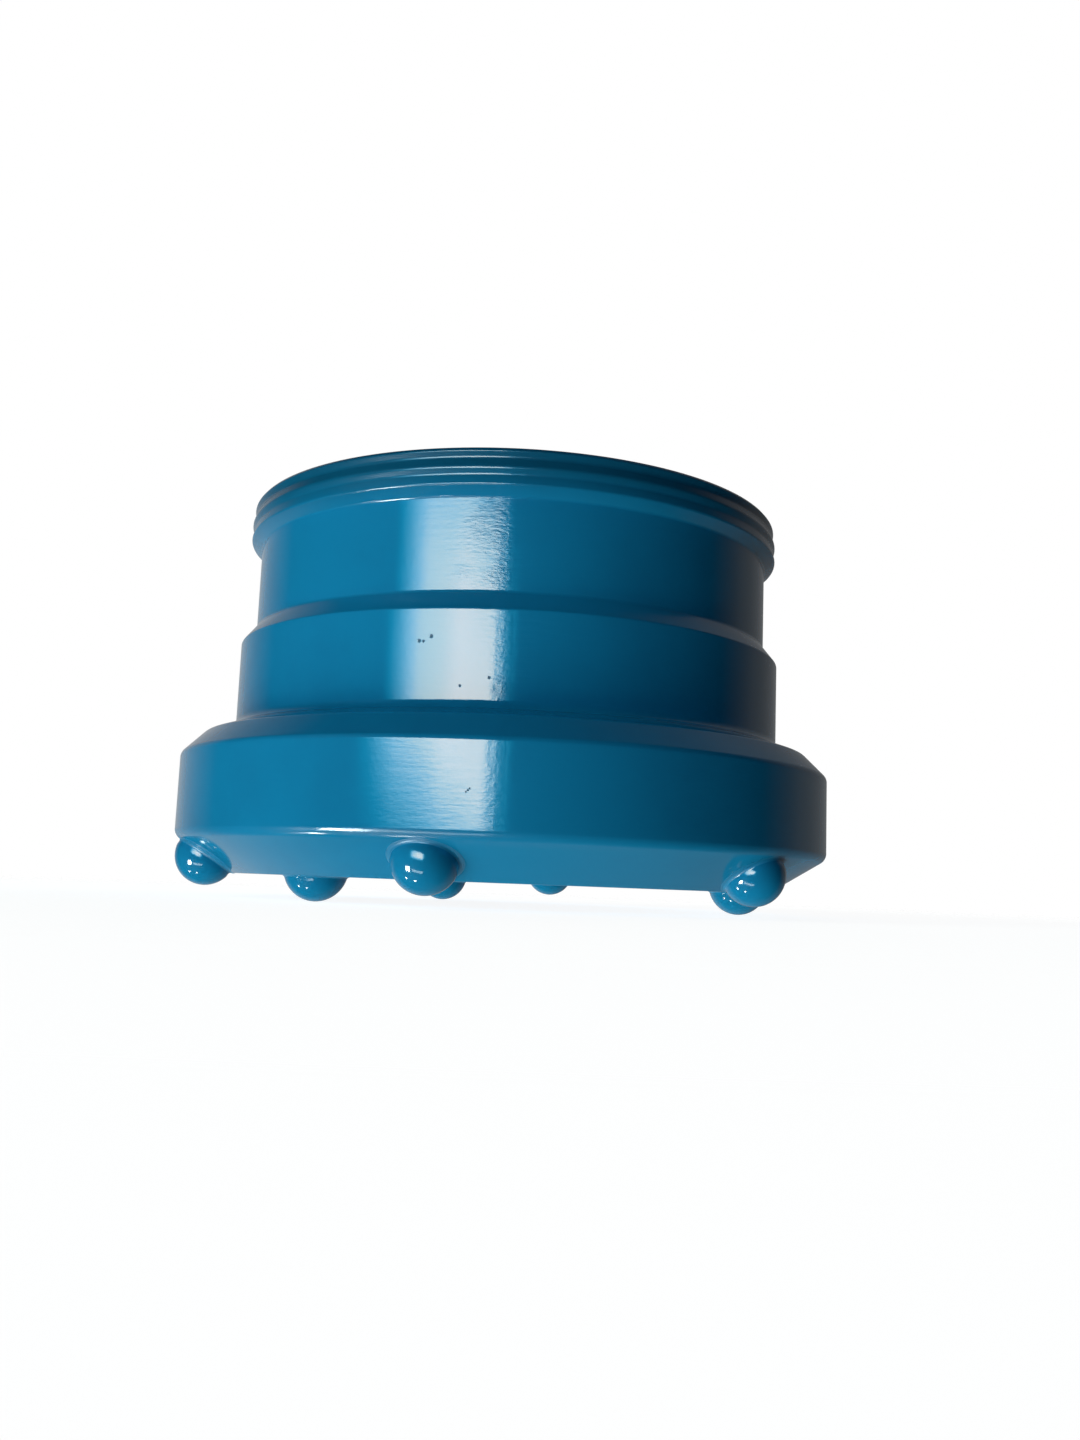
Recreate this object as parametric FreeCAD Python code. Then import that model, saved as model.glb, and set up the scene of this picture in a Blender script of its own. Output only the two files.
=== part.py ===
import FreeCAD, Part
import math
import os

# Ring bit for a casing: one turned steel ring with carbide buttons pressed in.
# Millimetres. +Z runs up the axis from the cutting end to the rear end.
# Z = 0 is the plane of the tips of the face buttons, which the ring stands on.

# Main sizes: the ring's radii follow the crown, and the neck takes up the height
CROWN_R = 94.0
RING_HEIGHT = 112.6

# Buttons
BUTTON_R = 8.0
DOME_R = 8.2
SHANK_CHAMFER = 0.8
SOCKET_DEPTH = 13.0
SOCKET_GAP = 0.02
DOME_HEIGHT = DOME_R - math.sqrt(DOME_R ** 2 - BUTTON_R ** 2)

# Where the buttons sit
GAUGE_COUNT = 6
GAUGE_FIRST_DEG = -11.9
GAUGE_INSET = 8.5
GAUGE_BUTTON_R = CROWN_R - GAUGE_INSET
GAUGE_PROUD = 1.7
FACE_COUNT = 3
FACE_FROM_GAUGE_DEG = -31.0
FACE_FIRST_DEG = GAUGE_FIRST_DEG + FACE_FROM_GAUGE_DEG
FACE_INSET = 24.6
FACE_BUTTON_R = CROWN_R - FACE_INSET
FACE_PROUD = 0.0

# Crown
FACE_Z = FACE_PROUD + DOME_HEIGHT
CHAMFER_WIDTH = 15.8
FACE_EDGE_R = CROWN_R - CHAMFER_WIDTH
GAUGE_CHAMFER_DEG = 32.0
CROWN_LENGTH = 32.5
SHOULDER_BEVEL = 6.1
SHOULDER_RISE = 2.8

# Spigot, step and neck
SPIGOT_INSET = 14.5
SPIGOT_R = CROWN_R - SPIGOT_INSET
SPIGOT_LENGTH = 23.9
STEP_LENGTH = 5.0
NECK_RELIEF = 4.0
NECK_R = SPIGOT_R - NECK_RELIEF

# Rear collar
COLLAR_RELIEF = 0.85
COLLAR_R = SPIGOT_R - COLLAR_RELIEF
RUN_OUT_DROP = 0.65
RUN_OUT_R = COLLAR_R - RUN_OUT_DROP
RUN_OUT_LENGTH = 1.7
GROOVE_COUNT = 2
GROOVE_PITCH = 4.75
GROOVE_WIDTH = 1.6
GROOVE_DEPTH = 0.9
GROOVE_FLOOR = 0.5
LEAD_IN_DROP = 1.45
LEAD_IN_R = COLLAR_R - LEAD_IN_DROP
LEAD_IN_LENGTH = 2.2

# Bore
LAND_INSET = 36.0
LAND_R = CROWN_R - LAND_INSET
LAND_LENGTH = 34.0
SEAT_WIDTH = 6.5
COUNTERBORE_R = LAND_R + SEAT_WIDTH
FACE_BORE_CHAMFER = 3.0
REAR_BORE_CHAMFER = 2.0

# Drive slots and bayonet pockets
SLOT_COUNT = 3
SLOT_WIDTH = 22.0
SLOT_INSET = 1.0
SLOT_FROM_BUTTON_DEG = 60.0
POCKET_Z_ABOVE_FACE = 9.0
POCKET_HEIGHT = 16.0
POCKET_DEG = 24.0
FULL_TURN = 360.0
QUARTER_TURN = FULL_TURN / 4
SAME_POINT = 1e-6

# Rounded corners
GAUGE_EDGE_ROUND = 3.0
FACE_EDGE_ROUND = 0.8
CROWN_TOP_ROUND = 2.0
BEVEL_ROUND = 2.0
FOOT_FILLET = 2.5
SPIGOT_EDGE_ROUND = 0.8
NECK_FILLET = 1.5
RUN_OUT_FILLET = 0.8
LAND_EDGE_ROUND = 0.6
LEAD_IN_ROUND = 1.2
REAR_EDGE_ROUND = 0.9

# Heights worked out from the lengths above
CHAMFER_TOP_Z = FACE_Z + (CROWN_R - FACE_EDGE_R) * math.tan(math.radians(GAUGE_CHAMFER_DEG))
CROWN_TOP_Z = FACE_Z + CROWN_LENGTH
BEVEL_TOP_Z = CROWN_TOP_Z + SHOULDER_BEVEL
SHOULDER_Z = BEVEL_TOP_Z + SHOULDER_RISE
SPIGOT_TOP_Z = SHOULDER_Z + SPIGOT_LENGTH
NECK_FOOT_Z = SPIGOT_TOP_Z + STEP_LENGTH
REAR_Z = RING_HEIGHT
LEAD_IN_Z = REAR_Z - LEAD_IN_LENGTH
COLLAR_Z = LEAD_IN_Z - GROOVE_COUNT * GROOVE_PITCH
NECK_TOP_Z = COLLAR_Z - RUN_OUT_LENGTH
LAND_TOP_Z = FACE_Z + LAND_LENGTH
SEAT_TOP_Z = LAND_TOP_Z + SEAT_WIDTH


def rounded_profile(corners):
    """Closed wire in the XZ plane through (radius, height, rounding) corners."""
    starts = []
    ends = []
    edges = []
    count = len(corners)
    for index in range(count):
        r, z, rounding = corners[index]
        here = FreeCAD.Vector(r, 0, z)
        before = FreeCAD.Vector(corners[index - 1][0], 0, corners[index - 1][1])
        after = FreeCAD.Vector(corners[(index + 1) % count][0], 0, corners[(index + 1) % count][1])
        if rounding == 0:
            starts.append(here)
            ends.append(here)
            continue
        back = (before - here).normalize()
        ahead = (after - here).normalize()
        half = back.getAngle(ahead) / 2
        reach = rounding / math.tan(half)
        middle = (back + ahead).normalize()
        arc_middle = here + middle * (rounding / math.sin(half) - rounding)
        starts.append(here + back * reach)
        ends.append(here + ahead * reach)
        edges.append(Part.Arc(starts[-1], arc_middle, ends[-1]).toShape())
    for index in range(count):
        if ends[index].distanceToPoint(starts[(index + 1) % count]) > SAME_POINT:
            edges.append(Part.makeLine(ends[index], starts[(index + 1) % count]))
    return Part.Wire(Part.__sortEdges__(edges))


def revolve(wire):
    """Turn a closed XZ wire about the Z axis into a solid."""
    face = Part.Face(wire)
    return face.revolve(FreeCAD.Vector(0, 0, 0), FreeCAD.Vector(0, 0, 1), FULL_TURN)


def around(angle_deg, radius, height):
    """Point at an angle about the axis, counted anticlockwise from -Y seen from above."""
    angle = math.radians(angle_deg)
    return FreeCAD.Vector(radius * math.sin(angle), -radius * math.cos(angle), height)


def groove_corners():
    """Corners of the ring grooves between the lands of the collar, from the bottom up."""
    corners = []
    for number in range(GROOVE_COUNT):
        middle = COLLAR_Z + GROOVE_WIDTH / 2 + number * GROOVE_PITCH
        below_r = RUN_OUT_R if number == 0 else COLLAR_R
        floor_r = COLLAR_R - GROOVE_DEPTH
        corners.append((below_r, middle - GROOVE_WIDTH / 2, LAND_EDGE_ROUND))
        corners.append((floor_r, middle - GROOVE_FLOOR / 2, 0))
        corners.append((floor_r, middle + GROOVE_FLOOR / 2, 0))
        corners.append((COLLAR_R, middle + GROOVE_WIDTH / 2, LAND_EDGE_ROUND))
    return corners


def turned_body():
    """The ring as it leaves the lathe, before slots and sockets are cut."""
    corners = [
        (LAND_R + FACE_BORE_CHAMFER, FACE_Z, 0),
        (FACE_EDGE_R, FACE_Z, FACE_EDGE_ROUND),
        (CROWN_R, CHAMFER_TOP_Z, GAUGE_EDGE_ROUND),
        (CROWN_R, CROWN_TOP_Z, CROWN_TOP_ROUND),
        (CROWN_R - SHOULDER_BEVEL, BEVEL_TOP_Z, BEVEL_ROUND),
        (SPIGOT_R, SHOULDER_Z, FOOT_FILLET),
        (SPIGOT_R, SPIGOT_TOP_Z, SPIGOT_EDGE_ROUND),
        (NECK_R, NECK_FOOT_Z, NECK_FILLET),
        (NECK_R, NECK_TOP_Z, RUN_OUT_FILLET),
    ]
    corners += groove_corners()
    corners += [
        (COLLAR_R, LEAD_IN_Z, LEAD_IN_ROUND),
        (LEAD_IN_R, REAR_Z, REAR_EDGE_ROUND),
        (COUNTERBORE_R + REAR_BORE_CHAMFER, REAR_Z, 0),
        (COUNTERBORE_R, REAR_Z - REAR_BORE_CHAMFER, 0),
        (COUNTERBORE_R, SEAT_TOP_Z, 0),
        (LAND_R, LAND_TOP_Z, 0),
        (LAND_R, FACE_Z + FACE_BORE_CHAMFER, 0),
    ]
    return revolve(rounded_profile(corners))


def drive_slot(angle_deg):
    """Straight slot through the bore land, with its bayonet pocket to one side."""
    reach = COUNTERBORE_R - SLOT_INSET
    slot = Part.makeBox(SLOT_WIDTH, reach, LAND_LENGTH + SEAT_TOP_Z - LAND_TOP_Z)
    slot.translate(FreeCAD.Vector(-SLOT_WIDTH / 2, -reach, FACE_Z))
    half_deg = math.degrees(math.asin(SLOT_WIDTH / 2 / reach))
    pocket = Part.makeCylinder(
        reach,
        POCKET_HEIGHT,
        FreeCAD.Vector(0, 0, FACE_Z + POCKET_Z_ABOVE_FACE),
        FreeCAD.Vector(0, 0, 1),
        half_deg + POCKET_DEG,
    )
    pocket.rotate(FreeCAD.Vector(0, 0, 0), FreeCAD.Vector(0, 0, 1), -QUARTER_TURN)
    counterbore = Part.makeCylinder(reach, REAR_Z)
    cutter = slot.common(counterbore).fuse(pocket)
    cutter.rotate(FreeCAD.Vector(0, 0, 0), FreeCAD.Vector(0, 0, 1), angle_deg)
    return cutter


def place_on(shape, seat, outward):
    """Turn a shape built along +Z so that +Z points outward at the seat."""
    turn = FreeCAD.Rotation(FreeCAD.Vector(0, 0, 1), outward)
    shape.Placement = FreeCAD.Placement(seat, turn).multiply(shape.Placement)
    return shape


def gauge_seat(number):
    """Seat point on the gauge chamfer and the outward direction there."""
    angle = GAUGE_FIRST_DEG + number * FULL_TURN / GAUGE_COUNT
    tilt = math.radians(GAUGE_CHAMFER_DEG)
    height = FACE_Z + (GAUGE_BUTTON_R - FACE_EDGE_R) * math.tan(tilt)
    outward = around(angle, math.sin(tilt), -math.cos(tilt))
    return around(angle, GAUGE_BUTTON_R, height), outward


def face_seat(number):
    """Seat point on the cutting face and the outward direction there."""
    angle = FACE_FIRST_DEG + number * FULL_TURN / FACE_COUNT
    return around(angle, FACE_BUTTON_R, FACE_Z), FreeCAD.Vector(0, 0, -1)


def socket_cutter(seat, outward):
    """Round pocket for one button, reaching a little past the surface."""
    overrun = BUTTON_R
    cutter = Part.makeCylinder(
        BUTTON_R + SOCKET_GAP,
        SOCKET_DEPTH + overrun,
        FreeCAD.Vector(0, 0, -SOCKET_DEPTH),
    )
    return place_on(cutter, seat, outward)


def button(seat, outward, proud):
    """One pressed-in button: chamfered shank with a domed head."""
    dome_centre = proud + DOME_HEIGHT - DOME_R
    tip = FreeCAD.Vector(0, 0, proud + DOME_HEIGHT)
    lean = math.asin(BUTTON_R / DOME_R) / 2
    dome_middle = FreeCAD.Vector(DOME_R * math.sin(lean), 0, dome_centre + DOME_R * math.cos(lean))
    rim = FreeCAD.Vector(BUTTON_R, 0, proud)
    foot_outer = FreeCAD.Vector(BUTTON_R, 0, SHANK_CHAMFER - SOCKET_DEPTH)
    foot_inner = FreeCAD.Vector(BUTTON_R - SHANK_CHAMFER, 0, -SOCKET_DEPTH)
    foot = FreeCAD.Vector(0, 0, -SOCKET_DEPTH)
    outline = Part.Wire([
        Part.makeLine(foot, foot_inner),
        Part.makeLine(foot_inner, foot_outer),
        Part.makeLine(foot_outer, rim),
        Part.Arc(rim, dome_middle, tip).toShape(),
        Part.makeLine(tip, foot),
    ])
    return place_on(revolve(outline), seat, outward)


os.makedirs("parts", exist_ok=True)

body = turned_body()
for number in range(SLOT_COUNT):
    slot_angle = FACE_FIRST_DEG + SLOT_FROM_BUTTON_DEG + number * FULL_TURN / SLOT_COUNT
    body = body.cut(drive_slot(slot_angle))

seats = []
for number in range(GAUGE_COUNT):
    seats.append(("gauge_button_%02d" % (number + 1), gauge_seat(number), GAUGE_PROUD))
for number in range(FACE_COUNT):
    seats.append(("face_button_%02d" % (number + 1), face_seat(number), FACE_PROUD))

for name, (seat, outward), proud in seats:
    body = body.cut(socket_cutter(seat, outward))
    shape = button(seat, outward, proud)
    shape.exportStep("parts/%s.step" % name)

body.exportStep("parts/ring_body.step")
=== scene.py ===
import math

import bmesh
import bpy
from bpy.props import FloatProperty, FloatVectorProperty, IntProperty, PointerProperty
from mathutils import Euler, Matrix, Vector


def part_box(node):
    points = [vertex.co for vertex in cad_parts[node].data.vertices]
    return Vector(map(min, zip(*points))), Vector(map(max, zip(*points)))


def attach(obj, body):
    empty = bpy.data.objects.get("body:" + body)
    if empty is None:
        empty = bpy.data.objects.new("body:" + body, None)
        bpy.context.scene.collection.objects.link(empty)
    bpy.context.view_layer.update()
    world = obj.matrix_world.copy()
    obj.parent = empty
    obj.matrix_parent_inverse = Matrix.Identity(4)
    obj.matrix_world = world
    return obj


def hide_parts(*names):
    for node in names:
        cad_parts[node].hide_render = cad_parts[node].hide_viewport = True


bl_info = {
    "name": "Casing Ring Bit",
    "version": (1, 0, 0),
    "blender": (4, 5, 0),
    "location": "View3D > Sidebar > Ring Bit",
    "description": "Builds a painted casing ring bit with domed carbide buttons, and its studio",
    "category": "Object",
}

MM = 0.001

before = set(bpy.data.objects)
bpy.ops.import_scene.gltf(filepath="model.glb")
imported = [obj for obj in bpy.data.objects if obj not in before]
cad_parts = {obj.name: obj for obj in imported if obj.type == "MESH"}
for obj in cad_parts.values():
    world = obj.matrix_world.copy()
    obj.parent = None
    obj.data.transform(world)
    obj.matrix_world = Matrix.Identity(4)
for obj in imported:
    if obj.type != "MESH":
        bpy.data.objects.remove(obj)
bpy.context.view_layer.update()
RING_LOW, RING_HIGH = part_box("ring_body")


class RingSizes(bpy.types.PropertyGroup):
    """Sizes of the turned ring."""

    crown_radius: FloatProperty(
        name="Crown Radius", description="Outside radius of the crown",
        default=RING_HIGH.x, unit="LENGTH")
    face_height: FloatProperty(
        name="Face Height", description="Height of the cutting face above the button tips",
        default=RING_LOW.z, unit="LENGTH")
    rear_height: FloatProperty(
        name="Rear Height", description="Height of the rear face",
        default=RING_HIGH.z, unit="LENGTH")
    face_edge_radius: FloatProperty(
        name="Face Edge Radius", description="Radius where the cutting face meets the gauge chamfer",
        default=78.2 * MM, unit="LENGTH")
    gauge_angle: FloatProperty(
        name="Gauge Angle", description="Rise of the gauge chamfer from the cutting face",
        default=math.radians(32), subtype="ANGLE")
    spigot_radius: FloatProperty(
        name="Spigot Radius", description="Radius that the casing shoe turns on",
        default=79.5 * MM, unit="LENGTH")
    neck_radius: FloatProperty(
        name="Neck Radius", description="Radius of the relieved neck",
        default=75.5 * MM, unit="LENGTH")
    collar_radius: FloatProperty(
        name="Collar Radius", description="Radius of the lands of the rear collar",
        default=78.65 * MM, unit="LENGTH")
    crown_length: FloatProperty(
        name="Crown Length", description="Height of the crown above the cutting face",
        default=32.5 * MM, unit="LENGTH")
    shoulder_bevel: FloatProperty(
        name="Shoulder Bevel", description="Width and height of the bevel on top of the crown",
        default=6.1 * MM, unit="LENGTH")
    shoulder_rise: FloatProperty(
        name="Shoulder Rise", description="Rise of the sloped shoulder from the bevel to the spigot",
        default=2.8 * MM, unit="LENGTH")
    spigot_length: FloatProperty(
        name="Spigot Length", description="Height of the spigot",
        default=23.9 * MM, unit="LENGTH")
    step_length: FloatProperty(
        name="Step Length", description="Height of the sloped step from the spigot to the neck",
        default=5 * MM, unit="LENGTH")
    run_out: FloatProperty(
        name="Run-out", description="Height of the slope from the neck to the first crest of the collar",
        default=2.2 * MM, unit="LENGTH")
    groove_count: IntProperty(
        name="Groove Count", description="Number of ring grooves in the rear collar", default=2, min=1)
    groove_pitch: FloatProperty(
        name="Groove Pitch", description="Height from one crest of the collar to the next",
        default=4.4 * MM, unit="LENGTH")
    groove_rise: FloatProperty(
        name="Groove Rise", description="Height from a crest up to the bottom of the groove above it",
        default=2.7 * MM, unit="LENGTH")
    groove_depth: FloatProperty(
        name="Groove Depth", description="Depth of the ring grooves in the rear collar",
        default=0.65 * MM, unit="LENGTH")
    lip_drop: FloatProperty(
        name="Lip Drop", description="How far the lip at the rear stays inside the crests",
        default=0.5 * MM, unit="LENGTH")
    lead_in: FloatProperty(
        name="Lead-in Length", description="Height of the slope between the lip and the rear face",
        default=0.9 * MM, unit="LENGTH")
    lead_in_drop: FloatProperty(
        name="Lead-in Drop", description="How far that slope runs in",
        default=0.75 * MM, unit="LENGTH")
    land_length: FloatProperty(
        name="Bore Land Length", description="Height of the land in the bore above the cutting face",
        default=34 * MM, unit="LENGTH")
    face_bore_chamfer: FloatProperty(
        name="Face Bore Chamfer", description="Chamfer of the bore at the cutting face",
        default=3 * MM, unit="LENGTH")
    rear_bore_chamfer: FloatProperty(
        name="Rear Bore Chamfer", description="Chamfer of the bore at the rear face",
        default=2 * MM, unit="LENGTH")
    land_radius: FloatProperty(
        name="Bore Land Radius", description="Radius of the narrow land in the bore",
        default=58 * MM, unit="LENGTH")
    counterbore_radius: FloatProperty(
        name="Counterbore Radius", description="Radius of the wide bore behind the land",
        default=64.5 * MM, unit="LENGTH")
    slot_width: FloatProperty(
        name="Drive Slot Width", description="Width of each drive slot in the bore land",
        default=22 * MM, unit="LENGTH")
    slot_inset: FloatProperty(
        name="Drive Slot Inset", description="How far the slots stay inside the counterbore",
        default=1 * MM, unit="LENGTH")
    slot_angle: FloatProperty(
        name="Drive Slot Angle", description="Angle from a face button to the next drive slot",
        default=math.radians(60), subtype="ANGLE")
    pocket_start: FloatProperty(
        name="Pocket Start", description="Height of the lock pockets above the cutting face",
        default=9 * MM, unit="LENGTH")
    pocket_height: FloatProperty(
        name="Pocket Height", description="Height of the lock pockets",
        default=16 * MM, unit="LENGTH")
    pocket_angle: FloatProperty(
        name="Pocket Angle", description="Reach of a lock pocket beside its slot",
        default=math.radians(24), subtype="ANGLE")
    steps: IntProperty(
        name="Steps", description="Number of steps round the ring", default=288, min=24)


class ButtonSizes(bpy.types.PropertyGroup):
    """Sizes and places of the carbide buttons."""

    radius: FloatProperty(
        name="Button Radius", description="Radius of a button's shank",
        default=8 * MM, unit="LENGTH")
    dome_radius: FloatProperty(
        name="Dome Radius", description="Radius of a button's domed head",
        default=8.2 * MM, unit="LENGTH")
    gauge_ring_radius: FloatProperty(
        name="Gauge Ring Radius", description="Radius of the ring of gauge buttons on the chamfer",
        default=85.5 * MM, unit="LENGTH")
    gauge_proud: FloatProperty(
        name="Gauge Stand", description="Length of shank that shows above the chamfer",
        default=1.7 * MM, unit="LENGTH")
    face_ring_radius: FloatProperty(
        name="Face Ring Radius", description="Radius of the ring of buttons on the cutting face",
        default=69.4 * MM, unit="LENGTH")
    first_gauge_angle: FloatProperty(
        name="First Gauge Angle", description="Angle of the first gauge button from the front",
        default=math.radians(-11.9), subtype="ANGLE")
    first_face_angle: FloatProperty(
        name="First Face Angle", description="Angle of the first face button from the front",
        default=math.radians(-42.9), subtype="ANGLE")
    bead: FloatProperty(
        name="Paint Bead", description="Radius of the paint bead at the foot of each button",
        default=0.9 * MM, unit="LENGTH")


class PaintLook(bpy.types.PropertyGroup):
    """Colour and gloss of the paint."""

    colour: FloatVectorProperty(
        name="Paint Colour", description="Colour of the sprayed paint",
        default=(0.006, 0.185, 0.36), subtype="COLOR", min=0, max=1)
    thin_colour: FloatVectorProperty(
        name="Thin Paint Colour", description="Colour where the paint is thinner",
        default=(0.006, 0.15, 0.30), subtype="COLOR", min=0, max=1)
    pit_colour: FloatVectorProperty(
        name="Pit Colour", description="Colour in the small pits and scratches",
        default=(0.005, 0.05, 0.09), subtype="COLOR", min=0, max=1)
    roughness: FloatProperty(
        name="Roughness", description="Roughness of the paint", default=0.08, min=0, max=1)
    edge_roughness: FloatProperty(
        name="Edge Roughness", description="Roughness of the paint on the gauge edge",
        default=0.2, min=0, max=1)
    bead_roughness: FloatProperty(
        name="Bead Roughness", description="Roughness of the paint bead round the buttons",
        default=0.38, min=0, max=1)


# Shapes

# Distances below which points are merged, in a finished piece and while a button is made
PIECE_MERGE = 1e-7
BUTTON_MERGE = 1e-6
# Angles in degrees above which an edge stays sharp
RING_SHARP = 30
BUTTON_SHARP = 50
# Roundings of the ring's corners in mm, each with its number of segments
FACE_ROUNDING = (0.8, 4)
GAUGE_ROUNDING = (3.0, 10)
BEVEL_ROUNDING = (2.0, 6)
FOOT_ROUNDING = (2.5, 8)
SPIGOT_ROUNDING = (0.8, 5)
NECK_FOOT_ROUNDING = (1.5, 6)
FIRST_CREST_ROUNDING = (0.6, 6)
GROOVE_ROUNDING = (1.2, 6)
LIP_ROUNDING = (0.5, 4)
BORE_ROUNDING = (0.3, 3)
# Hidden cutters: how far they reach inside the land and below the face, how much wider than
# its slot a sector starts, and its number of steps
CUTTER_INSET = 8 * MM
CUTTER_BELOW = 3 * MM
SLOT_SPARE = 1.4
CUTTER_STEPS = 28
SLOT_COUNT = 3
# Buttons: their number, the part of the foot that is sunk in the ring, and their steps
GAUGE_COUNT = 6
FACE_COUNT = 3
FOOT_DEPTH = 1.2 * MM
SKIRT_SPREAD = 0.45 * MM
SKIRT_DEPTH = 0.3 * MM
BEAD_STEPS = 6
DOME_STEPS = 22
BUTTON_STEPS = 72
# How far outside the shank the middle of a face lies where it counts as bead
BEAD_START = 0.05 * MM


def new_piece(name, bm, sharp_deg, look, slot):
    """Turns a bmesh into a smooth-shaded object that rides on the ring."""
    bmesh.ops.remove_doubles(bm, verts=bm.verts, dist=PIECE_MERGE)
    bmesh.ops.recalc_face_normals(bm, faces=bm.faces)
    mesh = bpy.data.meshes.new(name)
    bm.to_mesh(mesh)
    bm.free()
    mesh.polygons.foreach_set("use_smooth", [True] * len(mesh.polygons))
    mesh.set_sharp_from_angle(angle=math.radians(sharp_deg))
    piece = bpy.data.objects.new(name, mesh)
    bpy.context.scene.collection.objects.link(piece)
    if look is not None:
        mesh.materials.append(look)
    if slot is not None:
        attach(piece, "root")
    return piece


def round_corner(bm, vert, radius, segments):
    """Rounds one corner of a flat outline to a radius."""
    ahead, back = [(e.other_vert(vert).co - vert.co).normalized() for e in vert.link_edges]
    reach = radius / math.tan(ahead.angle(back) / 2)
    bmesh.ops.bevel(
        bm, geom=[vert], offset=reach, offset_type="OFFSET", segments=segments,
        profile=0.5, affect="VERTICES", clamp_overlap=True, material=-1)


def spin_outline(bm, steps):
    """Turns an outline in the XZ plane once about the Z axis."""
    bmesh.ops.spin(
        bm, geom=bm.verts[:] + bm.edges[:], axis=(0, 0, 1), cent=(0, 0, 0),
        angle=math.tau, steps=steps, use_merge=True)


def chamfer_height(sizes, radius):
    """Height of the gauge chamfer at a radius."""
    return sizes.face_height + (radius - sizes.face_edge_radius) * math.tan(sizes.gauge_angle)


def ring_corners(sizes):
    """Corners of the ring's section as (radius, height, rounding in mm, segments)."""
    face = sizes.face_height
    crown = sizes.crown_radius
    spigot = sizes.spigot_radius
    neck = sizes.neck_radius
    collar = sizes.collar_radius
    rear = sizes.rear_height
    crown_top = face + sizes.crown_length
    bevel_top = crown_top + sizes.shoulder_bevel
    shoulder = bevel_top + sizes.shoulder_rise
    spigot_top = shoulder + sizes.spigot_length
    lip = collar - sizes.lip_drop
    lead_in = rear - sizes.lead_in
    crest = lead_in - sizes.groove_count * sizes.groove_pitch
    corners = [
        (sizes.face_edge_radius, face, *FACE_ROUNDING),
        (crown, chamfer_height(sizes, crown), *GAUGE_ROUNDING),
        (crown, crown_top, *BEVEL_ROUNDING),
        (crown - sizes.shoulder_bevel, bevel_top, *BEVEL_ROUNDING),
        (spigot, shoulder, *FOOT_ROUNDING),
        (spigot, spigot_top, *SPIGOT_ROUNDING),
        (neck, spigot_top + sizes.step_length, *NECK_FOOT_ROUNDING),
        (neck, crest - sizes.run_out, *SPIGOT_ROUNDING),
    ]
    for number in range(sizes.groove_count):
        above = lip if number == sizes.groove_count - 1 else collar
        start = crest + number * sizes.groove_pitch
        corners.append((collar, start, *(GROOVE_ROUNDING if number else FIRST_CREST_ROUNDING)))
        corners.append((above - sizes.groove_depth, start + sizes.groove_rise, *GROOVE_ROUNDING))
    land = sizes.land_radius
    counterbore = sizes.counterbore_radius
    corners += [
        (lip, lead_in, *LIP_ROUNDING),
        (lip - sizes.lead_in_drop, rear, *BORE_ROUNDING),
        (counterbore + sizes.rear_bore_chamfer, rear, *BORE_ROUNDING),
        (counterbore, rear - sizes.rear_bore_chamfer, *BORE_ROUNDING),
        (counterbore, seat_top(sizes), *BORE_ROUNDING),
        (land, face + sizes.land_length, *BORE_ROUNDING),
        (land, face + sizes.face_bore_chamfer, *BORE_ROUNDING),
        (land + sizes.face_bore_chamfer, face, *BORE_ROUNDING),
    ]
    return corners


def seat_top(sizes):
    """Height where the sloped seat in the bore meets the counterbore."""
    return sizes.face_height + sizes.land_length + sizes.counterbore_radius - sizes.land_radius


def slot_cutters(sizes, first_angle):
    """Two hidden cutters: the three drive slots, and the three lock pockets."""
    outer = sizes.counterbore_radius - sizes.slot_inset
    inner = sizes.land_radius - CUTTER_INSET
    half = sizes.slot_width / 2
    spread = math.asin(half / outer)
    wide = SLOT_SPARE * spread
    below = sizes.face_height - CUTTER_BELOW
    pocket = sizes.face_height + sizes.pocket_start
    made = []
    sectors = (
        ("drive_slot_cutter", -wide, wide, below, seat_top(sizes), True),
        ("lock_pocket_cutter", 0, spread + sizes.pocket_angle, pocket, pocket + sizes.pocket_height, False),
    )
    for name, start, end, low, high, parallel in sectors:
        bm = bmesh.new()
        for number in range(SLOT_COUNT):
            part = bmesh.new()
            section = [
                part.verts.new((0, -inner, low)), part.verts.new((0, -outer, low)),
                part.verts.new((0, -outer, high)), part.verts.new((0, -inner, high)),
            ]
            part.faces.new(section)
            bmesh.ops.rotate(part, verts=part.verts, cent=(0, 0, 0), matrix=Matrix.Rotation(start, 3, "Z"))
            bmesh.ops.spin(
                part, geom=part.verts[:] + part.edges[:] + part.faces[:], axis=(0, 0, 1),
                cent=(0, 0, 0), angle=end - start, steps=CUTTER_STEPS)
            if parallel:
                for side in (-1, 1):
                    bmesh.ops.bisect_plane(
                        part, geom=part.verts[:] + part.edges[:] + part.faces[:],
                        plane_co=(side * half, 0, 0), plane_no=(side, 0, 0), clear_outer=True)
                    bmesh.ops.holes_fill(part, edges=[e for e in part.edges if e.is_boundary], sides=0)
            turn = first_angle + sizes.slot_angle + number * math.tau / SLOT_COUNT
            bmesh.ops.rotate(part, verts=part.verts, cent=(0, 0, 0), matrix=Matrix.Rotation(turn, 3, "Z"))
            bmesh.ops.recalc_face_normals(part, faces=part.faces)
            whole = bpy.data.meshes.new(name)
            part.to_mesh(whole)
            part.free()
            bm.from_mesh(whole)
            bpy.data.meshes.remove(whole)
        made.append(new_piece(name, bm, RING_SHARP, None, None))
    return made


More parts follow.
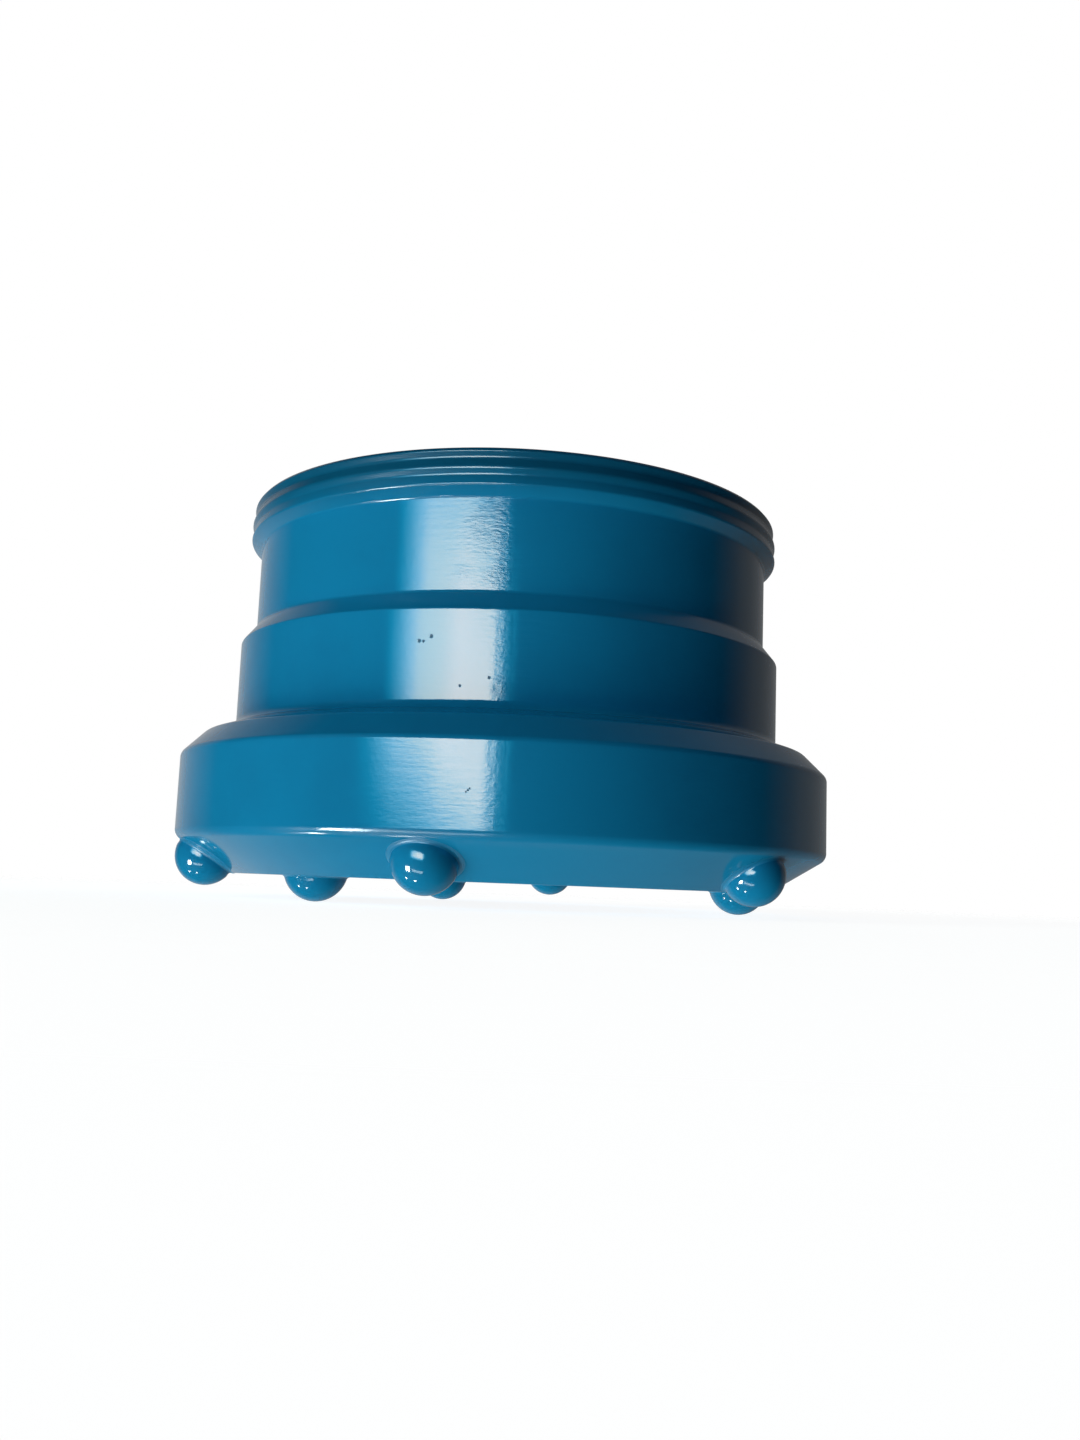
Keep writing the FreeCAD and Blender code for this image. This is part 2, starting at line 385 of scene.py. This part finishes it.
def button_outline(bm, sizes, proud):
    """Outline of a painted button: closed foot, paint bead, shank and dome."""
    radius, dome, bead = sizes.radius, sizes.dome_radius, sizes.bead
    centre_z = proud - math.sqrt(dome ** 2 - radius ** 2)
    if proud > bead:
        bead_r = radius + bead
        swing = math.pi / 2
    else:
        bead_r = math.sqrt((dome + bead) ** 2 - (bead - centre_z) ** 2)
        swing = math.pi / 2 - math.asin((bead - centre_z) / (dome + bead))
    chain = [
        bm.verts.new((0, 0, -FOOT_DEPTH)),
        bm.verts.new((bead_r, 0, -FOOT_DEPTH)),
        bm.verts.new((bead_r + SKIRT_SPREAD, 0, -SKIRT_DEPTH)),
        bm.verts.new((bead_r, 0, 0)),
    ]
    for one, other in zip(chain[:-1], chain[1:]):
        bm.edges.new((one, other))
    made = bmesh.ops.spin(
        bm, geom=[chain[-1]], axis=(0, 1, 0), cent=(bead_r, 0, bead),
        angle=swing, steps=BEAD_STEPS)
    last = made["geom_last"][0]
    if proud > bead:
        rim = bm.verts.new((radius, 0, proud))
        bm.edges.new((last, rim))
        last = rim
    lean = math.asin(min(1, last.co.x / dome))
    bmesh.ops.spin(
        bm, geom=[last], axis=(0, 1, 0), cent=(0, 0, centre_z),
        angle=-lean, steps=DOME_STEPS)


def make_button(name, node, sizes, proud, seat, outward, look):
    """One painted button at its seat, in place of its plain solid."""
    bm = bmesh.new()
    button_outline(bm, sizes, proud)
    for vert in bm.verts:
        if abs(vert.co.x) < BUTTON_MERGE:
            vert.co.x = 0
    spin_outline(bm, BUTTON_STEPS)
    bmesh.ops.remove_doubles(bm, verts=bm.verts, dist=BUTTON_MERGE)
    for face in bm.faces:
        if face.calc_center_median().xy.length > sizes.radius + BEAD_START:
            face.material_index = 1
    turn = Vector((0, 0, 1)).rotation_difference(outward).to_matrix().to_4x4()
    bmesh.ops.transform(bm, matrix=Matrix.Translation(seat) @ turn, verts=bm.verts)
    piece = new_piece(name, bm, BUTTON_SHARP, look, "painted_carbide")
    piece.data.materials.append(bpy.data.materials["paint_bead"])
    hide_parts(node)
    return piece


def around(angle, radius, height):
    """Point at an angle about the axis, counted from -Y towards +X."""
    return Vector((radius * math.sin(angle), -radius * math.cos(angle), height))


# Materials


def node(tree, kind, place, **values):
    """Adds a node with its settings and socket values."""
    made = tree.nodes.new(kind)
    made.location = place
    for key, value in values.items():
        if key.startswith("in_"):
            name = key[3:]
            made.inputs[int(name) if name.isdigit() else name.replace("_", " ")].default_value = value
        else:
            setattr(made, key, value)
    return made


def remap(tree, place, value, start, end, low, high):
    """Takes a value from start to end onto low to high, and holds it beyond."""
    made = node(tree, "ShaderNodeMapRange", place, in_1=start, in_2=end, in_3=low, in_4=high)
    tree.links.new(value, made.inputs["Value"])
    return made.outputs["Result"]


def combine(tree, place, operation, *values):
    """Result of a math node on sockets and plain numbers."""
    made = node(tree, "ShaderNodeMath", place, operation=operation)
    for number, value in enumerate(values):
        if isinstance(value, bpy.types.NodeSocket):
            tree.links.new(value, made.inputs[number])
        else:
            made.inputs[number].default_value = value
    return made.outputs["Value"]


def measure(tree, place, operation, vector, other):
    """Distance or dot product of a vector and a fixed one."""
    made = node(tree, "ShaderNodeVectorMath", place, operation=operation)
    made.inputs[1].default_value = other
    tree.links.new(vector, made.inputs[0])
    return made.outputs["Value"]


def noise(tree, place, vector, scale, detail, roughness, across=None):
    """Noise over a piece, drawn out level where its scale across is given."""
    if across is not None:
        drawn = node(tree, "ShaderNodeVectorMath", (place[0] - 300, place[1]), operation="MULTIPLY")
        drawn.inputs[1].default_value = (across, across, 1)
        tree.links.new(vector, drawn.inputs[0])
        vector = drawn.outputs["Vector"]
    made = node(
        tree, "ShaderNodeTexNoise", place, in_Scale=scale, in_Detail=detail, in_Roughness=roughness)
    tree.links.new(vector, made.inputs["Vector"])
    return made.outputs["Fac"]


def empty_material(name):
    """New material with nothing but its output: the material, its tree and the output."""
    material = bpy.data.materials.new(name)
    material.use_nodes = True
    tree = material.node_tree
    tree.nodes.clear()
    return material, tree, node(tree, "ShaderNodeOutputMaterial", (900, 0))


# Small pits and a scratch in the paint: angle from the front in degrees, radius, height and size in mm
PITS = (
    (-14.0, 79.5, 64.7, 0.55), (-16.2, 79.5, 63.6, 0.5), (-15.4, 79.5, 63.5, 0.4), (-3.5, 79.5, 54.8, 0.4),
    (-8.5, 79.5, 52.7, 0.35), (-5.3, 94.0, 26.4, 0.24), (-5.05, 94.0, 26.8, 0.26), (-4.8, 94.0, 27.2, 0.24),
)
# Patches where the paint has wrinkled, in the same units
WRINKLES = (
    (-6.0, 75.5, 92.0, 9.0), (-9.5, 75.5, 81.0, 3.0), (-4.0, 75.5, 80.0, 5.0), (-2.0, 79.5, 52.0, 4.0),
)
# Wrinkled seam up the wall: its angle from the front and its reach to each side
SEAM_ANGLE = math.radians(-2.0)
SEAM_REACH = 3.2 * MM
# Glossy run of paint on the gauge edge: its angle from the front, its reach, and the share of
# the edge's extra roughness that is left in it
RUN_ANGLE = math.radians(-26)
RUN_REACH = 3.2 * MM
RUN_SHARE = 0.3
# Duller paint on the gauge edge: height above and below where it is full, and where it ends
EDGE_FULL = 1.2 * MM
EDGE_END = 2.0 * MM
# Painted shade towards the rear, darkening the paint's colour there: how far below the rear face it starts
# and is full, and the share of the colour that is left
REAR_SHADE_FROM = 12.4 * MM
REAR_SHADE_TO = 4.4 * MM
REAR_SHADE_SHARE = 0.46
# Its extra roughness, and how far below and above its start that comes in
MATT_EXTRA = 0.1
MATT_BELOW = 1.0 * MM
MATT_ABOVE = 1.5 * MM
# Relief of the paint: height of one unit in metres, then in such units the weight of the swell,
# the least and most of the turning lines, the wrinkles and the depth of a pit
RELIEF_UNIT = 0.000011
SWELL = 1.6
LINES_LEAST = 0.9
LINES_MOST = 3.2
WRINKLE_HEIGHT = 4.0
PIT_DEPTH = 6.0
# Extra roughness in a pit
PIT_ROUGHNESS = 0.5
# Shares of a wrinkle's and a pit's size within which they are full
WRINKLE_CORE = 0.3
PIT_CORE = 0.4


def spots(listed):
    """Points and sizes in metres of listed marks."""
    return [
        (around(math.radians(angle), radius * MM, height * MM), size * MM)
        for angle, radius, height, size in listed]


def patchy_colour(tree, place, look):
    """Paint colour with clouds of thinner paint."""
    clouds = noise(tree, (-900, 500), place, scale=38.0, detail=4.0, roughness=0.6)
    mix = node(tree, "ShaderNodeMix", (-300, 500), data_type="RGBA")
    mix.inputs["A"].default_value = (*look.thin_colour, 1)
    mix.inputs["B"].default_value = (*look.colour, 1)
    share = remap(tree, (-600, 500), clouds, start=0.3, end=0.55, low=0.55, high=1.0)
    tree.links.new(share, mix.inputs["Factor"])
    return mix.outputs["Result"]


def painted_rear_shade(tree, colour, up, shade_from, shade_to):
    """Darkens a colour between two heights: painted shade towards the rear."""
    share = remap(tree, (-300, 750), up, shade_from, shade_to, 1.0, REAR_SHADE_SHARE)
    thinner = node(tree, "ShaderNodeVectorMath", (-100, 700), operation="SCALE")
    tree.links.new(colour, thinner.inputs[0])
    tree.links.new(share, thinner.inputs["Scale"])
    return thinner.outputs["Vector"]


def ring_roughness(tree, place, up, look, ring, shade_from):
    """Roughness of the ring's paint: more at the rear and on the gauge edge, but for a glossy run there."""
    edge = chamfer_height(ring, ring.crown_radius)
    matt = remap(
        tree, (-300, 950), up, shade_from - MATT_BELOW, shade_from + MATT_ABOVE,
        look.roughness, look.roughness + MATT_EXTRA)
    above = combine(tree, (-900, 1150), "SUBTRACT", up, edge)
    beyond = combine(tree, (-700, 1150), "ABSOLUTE", above)
    rim = remap(
        tree, (-500, 1150), beyond, EDGE_END, EDGE_FULL, 0.0, look.edge_roughness - look.roughness)
    run = measure(tree, (-700, 1350), "DISTANCE", place, around(RUN_ANGLE, ring.crown_radius, edge))
    away = remap(tree, (-500, 1350), run, RUN_REACH, RUN_REACH * 2.0, RUN_SHARE, 1.0)
    return combine(tree, (-100, 1000), "MULTIPLY_ADD", rim, away, matt)


def turned_relief(tree, place, relief):
    """Adds the lines of turning, the wrinkled seam and the wrinkled patches to a relief."""
    streaks = noise(tree, (-900, -400), place, scale=1000.0, detail=2.0, roughness=0.6, across=0.14)
    wobble = noise(tree, (-1200, -700), place, scale=22.0, detail=1.0, roughness=0.5)
    fade = remap(tree, (-900, -750), wobble, start=0.35, end=0.7, low=LINES_LEAST, high=LINES_MOST)
    relief = combine(tree, (-450, -200), "MULTIPLY_ADD", streaks, fade, relief)
    fine = noise(tree, (-900, -1300), place, scale=1400.0, detail=3.0, roughness=0.7, across=0.5)
    side = (math.cos(SEAM_ANGLE), math.sin(SEAM_ANGLE), 0)
    beside = measure(tree, (-1500, -1400), "DOT_PRODUCT", place, side)
    areas = [(combine(tree, (-1300, -1400), "ABSOLUTE", beside), SEAM_REACH)]
    for number, (spot, size) in enumerate(spots(WRINKLES)):
        areas.append((measure(tree, (-900, -1500 - 200 * number), "DISTANCE", place, spot), size))
    for number, (distance, size) in enumerate(areas):
        patch = remap(
            tree, (-600, -1300 - 200 * number), distance, size, size * WRINKLE_CORE, 0.0, WRINKLE_HEIGHT)
        relief = combine(tree, (-350, -300 - 100 * number), "MULTIPLY_ADD", fine, patch, relief)
    return relief


def add_pits(tree, place, look, colour, relief, rough):
    """Digs the pits into a relief, and stains and dulls them."""
    for number, (spot, size) in enumerate(spots(PITS)):
        near = measure(tree, (-1500, -1000 - 200 * number), "DISTANCE", place, spot)
        hole = remap(tree, (-1200, -1000 - 200 * number), near, size, size * PIT_CORE, 0.0, 1.0)
        relief = combine(tree, (-300, -200 - 100 * number), "MULTIPLY_ADD", hole, -PIT_DEPTH, relief)
        stain = node(tree, "ShaderNodeMix", (-100, 500 - 100 * number), data_type="RGBA")
        stain.inputs["B"].default_value = (*look.pit_colour, 1)
        tree.links.new(hole, stain.inputs["Factor"])
        tree.links.new(colour, stain.inputs["A"])
        colour = stain.outputs["Result"]
        rough = combine(tree, (100, -400 - 100 * number), "MULTIPLY_ADD", hole, PIT_ROUGHNESS, rough)
    return colour, relief, rough


def paint_material(name, look, roughness, ring):
    """Sprayed paint with orange-peel. On the ring, given by its sizes, it also shows turning, wear and
    painted shade towards the rear.
    """
    material, tree, out = empty_material(name)
    link = tree.links.new
    shader = node(
        tree, "ShaderNodeBsdfPrincipled", (600, 0), in_Roughness=roughness, in_IOR=1.5, in_Coat_Weight=0.0)
    link(shader.outputs["BSDF"], out.inputs["Surface"])
    place = node(tree, "ShaderNodeTexCoord", (-1800, 0)).outputs["Object"]
    colour = patchy_colour(tree, place, look)
    peel = noise(tree, (-900, 100), place, scale=900.0, detail=2.0, roughness=0.5)
    swell = noise(tree, (-900, -100), place, scale=70.0, detail=1.0, roughness=0.4)
    relief = combine(tree, (-600, 0), "MULTIPLY_ADD", swell, SWELL, peel)
    if ring is not None:
        apart = node(tree, "ShaderNodeSeparateXYZ", (-1500, -600))
        link(place, apart.inputs[0])
        up = apart.outputs["Z"]
        shade_from = ring.rear_height - REAR_SHADE_FROM
        # Painted shade: the colour darkens towards the rear face
        colour = painted_rear_shade(tree, colour, up, shade_from, ring.rear_height - REAR_SHADE_TO)
        rough = ring_roughness(tree, place, up, look, ring, shade_from)
        relief = turned_relief(tree, place, relief)
        colour, relief, rough = add_pits(tree, place, look, colour, relief, rough)
        link(rough, shader.inputs["Roughness"])
    bump = node(tree, "ShaderNodeBump", (300, -200), in_Strength=1.0, in_Distance=RELIEF_UNIT)
    link(relief, bump.inputs["Height"])
    link(bump.outputs["Normal"], shader.inputs["Normal"])
    link(colour, shader.inputs["Base Color"])
    return material


def lamp_material(name, strength, colour):
    """Plain light for a studio panel."""
    material, tree, out = empty_material(name)
    glow = node(tree, "ShaderNodeEmission", (0, 0), in_Color=(*colour, 1), in_Strength=strength)
    tree.links.new(glow.outputs["Emission"], out.inputs["Surface"])
    return material


def light_ramp(tree, place, stops, value):
    """Colour ramp through (position, colour) stops."""
    ramp = node(tree, "ShaderNodeValToRGB", place)
    elements = ramp.color_ramp.elements
    for position, colour in stops[1:-1]:
        elements.new(position).color = (*colour, 1)
    for element, (position, colour) in ((elements[0], stops[0]), (elements[-1], stops[-1])):
        element.position = position
        element.color = (*colour, 1)
    tree.links.new(value, ramp.inputs["Fac"])
    return ramp.outputs["Color"]


def window_material(strength, middle, sides):
    """Window light that fades out through blue towards its edges."""
    material = lamp_material("window_light", strength, (1, 1, 1))
    tree = material.node_tree
    place = node(tree, "ShaderNodeTexCoord", (-1500, 0)).outputs["Object"]
    shares = []
    for number, (direction, length, stops) in enumerate(sides):
        along = measure(tree, (-1200, -300 * number), "DOT_PRODUCT", place, direction)
        start = middle.dot(direction) - length / 2
        part = remap(tree, (-900, -300 * number), along, start, start + length, 0.0, 1.0)
        grey = [(position, (bright, bright, bright)) for position, bright in stops]
        shares.append(light_ramp(tree, (-700, -300 * number), grey, part))
    both = combine(tree, (-400, 0), "MULTIPLY", *shares)
    colour = light_ramp(tree, (-250, 0), WINDOW_COLOURS, both)
    tree.links.new(colour, tree.nodes["Emission"].inputs["Color"])
    return material


# The studio

# Panels: azimuth from -Y towards +X, elevation, distance, width, height, turn,
# strength, colour, and whether they light surfaces and show in the gloss.
# The window, which has no single colour, is the one with None
PANELS = (
    ("window", -26.0, 10.0, 1.25, 1.34, 0.6, 10.0, 17.0, None, False, True),
    ("low_strip", -55.0, -27.0, 1.2, 0.27, 0.28, 14.0, 60.0, (0.85, 1.0, 1.0), False, True),
    ("low_strip_faint", -24.0, -37.0, 1.2, 0.66, 0.14, 16.0, 7.0, (0.85, 1.0, 1.0), False, True),
    ("ceiling_spot_1", -83.0, -47.0, 1.2, 0.09, 0.09, 0.0, 45.0, (0.95, 1.0, 1.0), False, True),
    ("ceiling_spot_2", -54.0, -63.0, 1.2, 0.09, 0.09, 0.0, 45.0, (0.95, 1.0, 1.0), False, True),
    ("left_key", -49.0, -38.0, 1.25, 1.1, 0.95, 0.0, 4.9, (1.0, 0.97, 0.9), True, False),
    ("left_fill", -64.0, 32.0, 1.3, 0.6, 0.6, 0.0, 3.2, (0.9, 1.0, 0.92), True, False),
    ("front_soft", -24.0, 4.0, 1.3, 0.6, 0.6, 0.0, 3.2, (0.4, 1.0, 1.25), True, False),
    ("side_soft", -96.0, 0.0, 1.3, 0.6, 0.6, 0.0, 0.3, (1.0, 1.0, 0.96), True, False),
    ("top_soft", -90.0, 72.0, 1.2, 0.8, 0.8, 0.0, 0.3, (0.7, 0.95, 1.03), True, False),
    ("low_back", -150.0, -25.0, 1.3, 0.9, 0.9, 0.0, 3.5, (1.0, 1.0, 0.9), True, False),
    ("low_soft", 150.0, -78.0, 1.2, 0.8, 0.8, 0.0, 2.8, (1.0, 1.05, 1.0), True, False),
    ("back_fill", 155.0, 15.0, 1.3, 0.9, 0.9, 0.0, 2.6, (1.0, 1.0, 1.0), True, False),
)

# Brightness of the window from left to right and from bottom to top, and its colour by brightness
WINDOW_ACROSS = (
    (0.1, 0.0), (0.2, 0.2), (0.3, 0.5), (0.35, 0.65), (0.5, 0.75), (0.6, 0.9), (0.8, 0.85), (0.9, 0.25),
    (1.0, 0.0),
)
WINDOW_UP = ((0.0, 0.0), (0.1, 0.25), (0.2, 0.55), (0.35, 1.0), (0.65, 1.0), (0.9, 0.6), (0.95, 0.0))
WINDOW_COLOURS = (
    (0.0, (0.0, 0.0, 0.0)), (0.1, (0.0, 0.1, 0.15)), (0.3, (0.1, 0.3, 0.4)), (0.5, (0.3, 0.5, 0.6)),
    (0.7, (0.6, 0.7, 0.65)), (1.0, (1.0, 0.9, 0.8)),
)

# Height on the ring's axis that the panels face
PANEL_AIM = 0.06
# Glow of the room behind the ring, on the left and on the right: start and end of its rise
# towards +Y, and its strength. The one passes into the other within the blend
ROOM_GLOW = ((0.4, 0.85, 0.45), (0.1, 0.5, 0.17))
ROOM_BLEND = 0.3
# Floor: radius of its disc, grey, own glow, and the distances between which it fades away
FLOOR_RADIUS = 0.6
FLOOR_GREY = 0.3
FLOOR_GLOW = 0.9
FLOOR_FADE = (0.16, 0.5)
# Camera: lens and sensor width in mm, nearest distance and place in metres, turn in degrees
CAMERA_LENS = 30.75
CAMERA_SENSOR = 36
CAMERA_NEAR = 0.01
CAMERA_PLACE = (0, -0.36866, 0.00665)
CAMERA_TURN = (97.5855, -2.1808, -1.7994)


def make_panel(name, azimuth, elevation, distance, width, height, turn, strength, colour, lights, shows):
    """A glowing panel that faces the ring and that the camera doesn't see."""
    bm = bmesh.new()
    bmesh.ops.create_grid(bm, x_segments=1, y_segments=1, size=0.5)
    bmesh.ops.scale(bm, vec=(width, height, 1), verts=bm.verts)
    a, e = math.radians(azimuth), math.radians(elevation)
    away = Vector((math.sin(a) * math.cos(e), -math.cos(a) * math.cos(e), math.sin(e)))
    facing = (-away).to_track_quat("Z", "Y").to_matrix() @ Matrix.Rotation(math.radians(turn), 3, "Z")
    centre = Vector((0, 0, PANEL_AIM)) + away * distance
    bmesh.ops.transform(bm, matrix=Matrix.Translation(centre) @ facing.to_4x4(), verts=bm.verts)
    mesh = bpy.data.meshes.new(name)
    bm.to_mesh(mesh)
    bm.free()
    panel = bpy.data.objects.new(name, mesh)
    bpy.context.scene.collection.objects.link(panel)
    if colour is None:
        level = Vector((math.cos(a), math.sin(a), 0))
        sides = ((level, width, WINDOW_ACROSS), (facing @ Vector((0, 1, 0)), height, WINDOW_UP))
        mesh.materials.append(window_material(strength, centre, sides))
    else:
        mesh.materials.append(lamp_material(name, strength, colour))
    panel.visible_camera = False
    panel.visible_shadow = False
    panel.visible_diffuse = lights
    panel.visible_glossy = shows
    return panel


def make_world():
    """White to the camera, and a soft room round the ring."""
    world = bpy.data.worlds.new("soft_room")
    bpy.context.scene.world = world
    world.use_nodes = True
    tree = world.node_tree
    tree.nodes.clear()
    link = tree.links.new
    out = node(tree, "ShaderNodeOutputWorld", (900, 0))
    path = node(tree, "ShaderNodeLightPath", (-300, 500))
    where = node(tree, "ShaderNodeTexCoord", (-900, 0)).outputs["Generated"]
    apart = node(tree, "ShaderNodeSeparateXYZ", (-600, 0))
    link(where, apart.inputs[0])
    sides = [
        remap(tree, (-450, -250 * number), apart.outputs["Y"], start, end, 0.0, glow)
        for number, (start, end, glow) in enumerate(ROOM_GLOW)]
    share = remap(tree, (-450, 250), apart.outputs["X"], -ROOM_BLEND, ROOM_BLEND, 0.0, 1.0)
    both = node(tree, "ShaderNodeMix", (-200, 0), data_type="FLOAT")
    link(share, both.inputs["Factor"])
    link(sides[0], both.inputs["A"])
    link(sides[1], both.inputs["B"])
    room = node(tree, "ShaderNodeBackground", (0, 0), in_Color=(1.0, 1.0, 1.0, 1))
    link(both.outputs["Result"], room.inputs["Strength"])
    white = node(tree, "ShaderNodeBackground", (0, 250), in_Color=(1, 1, 1, 1), in_Strength=1.0)
    pick = node(tree, "ShaderNodeMixShader", (500, 0))
    link(path.outputs["Is Camera Ray"], pick.inputs[0])
    link(room.outputs["Background"], pick.inputs[1])
    link(white.outputs["Background"], pick.inputs[2])
    link(pick.outputs["Shader"], out.inputs["Surface"])


def floor_material():
    """Pale floor that keeps a soft shadow and fades into the white room."""
    material, tree, out = empty_material("pale_floor")
    link = tree.links.new
    matt = node(
        tree, "ShaderNodeBsdfDiffuse", (0, 0), in_Color=(FLOOR_GREY, FLOOR_GREY, FLOOR_GREY, 1))
    glow = node(tree, "ShaderNodeEmission", (0, -200), in_Color=(1, 1, 1, 1), in_Strength=FLOOR_GLOW)
    both = node(tree, "ShaderNodeAddShader", (200, 0))
    link(matt.outputs["BSDF"], both.inputs[0])
    link(glow.outputs["Emission"], both.inputs[1])
    place = node(tree, "ShaderNodeTexCoord", (-600, 300)).outputs["Object"]
    reach = node(tree, "ShaderNodeVectorMath", (-300, 300), operation="LENGTH")
    link(place, reach.inputs[0])
    fade = node(
        tree, "ShaderNodeMapRange", (0, 300), interpolation_type="SMOOTHSTEP",
        in_1=FLOOR_FADE[0], in_2=FLOOR_FADE[1], in_3=0.0, in_4=1.0)
    link(reach.outputs["Value"], fade.inputs["Value"])
    clear = node(tree, "ShaderNodeBsdfTransparent", (200, -300))
    pick = node(tree, "ShaderNodeMixShader", (500, 0))
    link(fade.outputs["Result"], pick.inputs[0])
    link(both.outputs["Shader"], pick.inputs[1])
    link(clear.outputs["BSDF"], pick.inputs[2])
    link(pick.outputs["Shader"], out.inputs["Surface"])
    return material


class RINGBIT_OT_ring(bpy.types.Operator):
    """Build the painted ring with its drive slots and lock pockets"""

    bl_idname = "ringbit.ring"
    bl_label = "Build Ring"

    def execute(self, context):
        sizes = context.scene.ring_sizes
        bm = bmesh.new()
        corners = ring_corners(sizes)
        outline = [bm.verts.new((r, 0, z)) for r, z, _, _ in corners]
        bm.faces.new(outline)
        for vert, (_, _, rounding, segments) in zip(outline, corners):
            round_corner(bm, vert, rounding * MM, segments)
        bmesh.ops.delete(bm, geom=bm.faces[:], context="FACES_ONLY")
        spin_outline(bm, sizes.steps)
        paint = context.scene.paint_look
        look = paint_material("sprayed_paint", paint, paint.roughness, sizes)
        ring = new_piece("painted_ring", bm, RING_SHARP, look, "painted_steel")
        cutters = slot_cutters(sizes, context.scene.button_sizes.first_face_angle)
        for cutter in cutters:
            cut = ring.modifiers.new(cutter.name, "BOOLEAN")
            cut.object = cutter
            cut.solver = "EXACT"
        graph = context.evaluated_depsgraph_get()
        whole = bpy.data.meshes.new_from_object(ring.evaluated_get(graph))
        ring.modifiers.clear()
        ring.data = whole
        whole.set_sharp_from_angle(angle=math.radians(RING_SHARP))
        for cutter in cutters:
            bpy.data.objects.remove(cutter)
        weigh = ring.modifiers.new("even_shading", "WEIGHTED_NORMAL")
        weigh.keep_sharp = True
        weigh.weight = 100
        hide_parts("ring_body")
        return {"FINISHED"}


class RINGBIT_OT_gauge_buttons(bpy.types.Operator):
    """Build the six gauge buttons on the chamfer"""

    bl_idname = "ringbit.gauge_buttons"
    bl_label = "Build Gauge Buttons"

    def execute(self, context):
        ring = context.scene.ring_sizes
        sizes = context.scene.button_sizes
        paint = context.scene.paint_look
        look = paint_material("paint_on_carbide", paint, paint.roughness, None)
        paint_material("paint_bead", paint, paint.bead_roughness, None)
        tilt = ring.gauge_angle
        height = chamfer_height(ring, sizes.gauge_ring_radius)
        for number in range(GAUGE_COUNT):
            angle = sizes.first_gauge_angle + number * math.tau / GAUGE_COUNT
            make_button(
                "gauge_dome_%02d" % (number + 1), "gauge_button_%02d" % (number + 1), sizes,
                sizes.gauge_proud, around(angle, sizes.gauge_ring_radius, height),
                around(angle, math.sin(tilt), -math.cos(tilt)), look)
        return {"FINISHED"}


class RINGBIT_OT_face_buttons(bpy.types.Operator):
    """Build the three buttons on the cutting face"""

    bl_idname = "ringbit.face_buttons"
    bl_label = "Build Face Buttons"

    def execute(self, context):
        ring = context.scene.ring_sizes
        sizes = context.scene.button_sizes
        look = bpy.data.materials["paint_on_carbide"]
        for number in range(FACE_COUNT):
            angle = sizes.first_face_angle + number * math.tau / FACE_COUNT
            make_button(
                "face_dome_%02d" % (number + 1), "face_button_%02d" % (number + 1), sizes,
                0, around(angle, sizes.face_ring_radius, ring.face_height),
                Vector((0, 0, -1)), look)
        return {"FINISHED"}


class RINGBIT_OT_studio(bpy.types.Operator):
    """Build the floor, the soft light and the camera"""

    bl_idname = "ringbit.studio"
    bl_label = "Build Studio"

    def execute(self, context):
        scene = context.scene
        scene.view_settings.view_transform = "Standard"
        bm = bmesh.new()
        bmesh.ops.create_circle(bm, cap_ends=True, segments=96, radius=FLOOR_RADIUS)
        mesh = bpy.data.meshes.new("pale_floor")
        bm.to_mesh(mesh)
        bm.free()
        mesh.materials.append(floor_material())
        floor = bpy.data.objects.new("pale_floor", mesh)
        scene.collection.objects.link(floor)
        floor.visible_glossy = False
        floor.visible_diffuse = False
        floor.visible_shadow = False
        make_world()
        for panel in PANELS:
            make_panel(*panel)
        camera = bpy.data.cameras.new("camera")
        camera.sensor_width = CAMERA_SENSOR
        camera.lens = CAMERA_LENS
        camera.clip_start = CAMERA_NEAR
        view = bpy.data.objects.new("camera", camera)
        scene.collection.objects.link(view)
        view.location = CAMERA_PLACE
        view.rotation_euler = Euler([math.radians(turn) for turn in CAMERA_TURN])
        scene.camera = view
        return {"FINISHED"}


class RINGBIT_PT_panel(bpy.types.Panel):
    """Sizes, paint and build buttons of the ring bit"""

    bl_idname = "RINGBIT_PT_panel"
    bl_label = "Ring Bit"
    bl_space_type = "VIEW_3D"
    bl_region_type = "UI"
    bl_category = "Ring Bit"

    def draw(self, context):
        for group in (context.scene.ring_sizes, context.scene.button_sizes, context.scene.paint_look):
            box = self.layout.box()
            for name in group.__annotations__:
                box.prop(group, name)
        for kind in OPERATORS:
            self.layout.operator(kind.bl_idname)


OPERATORS = (
    RINGBIT_OT_ring, RINGBIT_OT_gauge_buttons, RINGBIT_OT_face_buttons, RINGBIT_OT_studio)
CLASSES = (RingSizes, ButtonSizes, PaintLook, *OPERATORS, RINGBIT_PT_panel)


def register():
    for kind in CLASSES:
        bpy.utils.register_class(kind)
    bpy.types.Scene.ring_sizes = PointerProperty(type=RingSizes)
    bpy.types.Scene.button_sizes = PointerProperty(type=ButtonSizes)
    bpy.types.Scene.paint_look = PointerProperty(type=PaintLook)


def unregister():
    del bpy.types.Scene.paint_look
    del bpy.types.Scene.button_sizes
    del bpy.types.Scene.ring_sizes
    for kind in reversed(CLASSES):
        bpy.utils.unregister_class(kind)


def main():
    register()
    bpy.ops.ringbit.ring()
    bpy.ops.ringbit.gauge_buttons()
    bpy.ops.ringbit.face_buttons()
    bpy.ops.ringbit.studio()


if __name__ == "__main__":
    main()
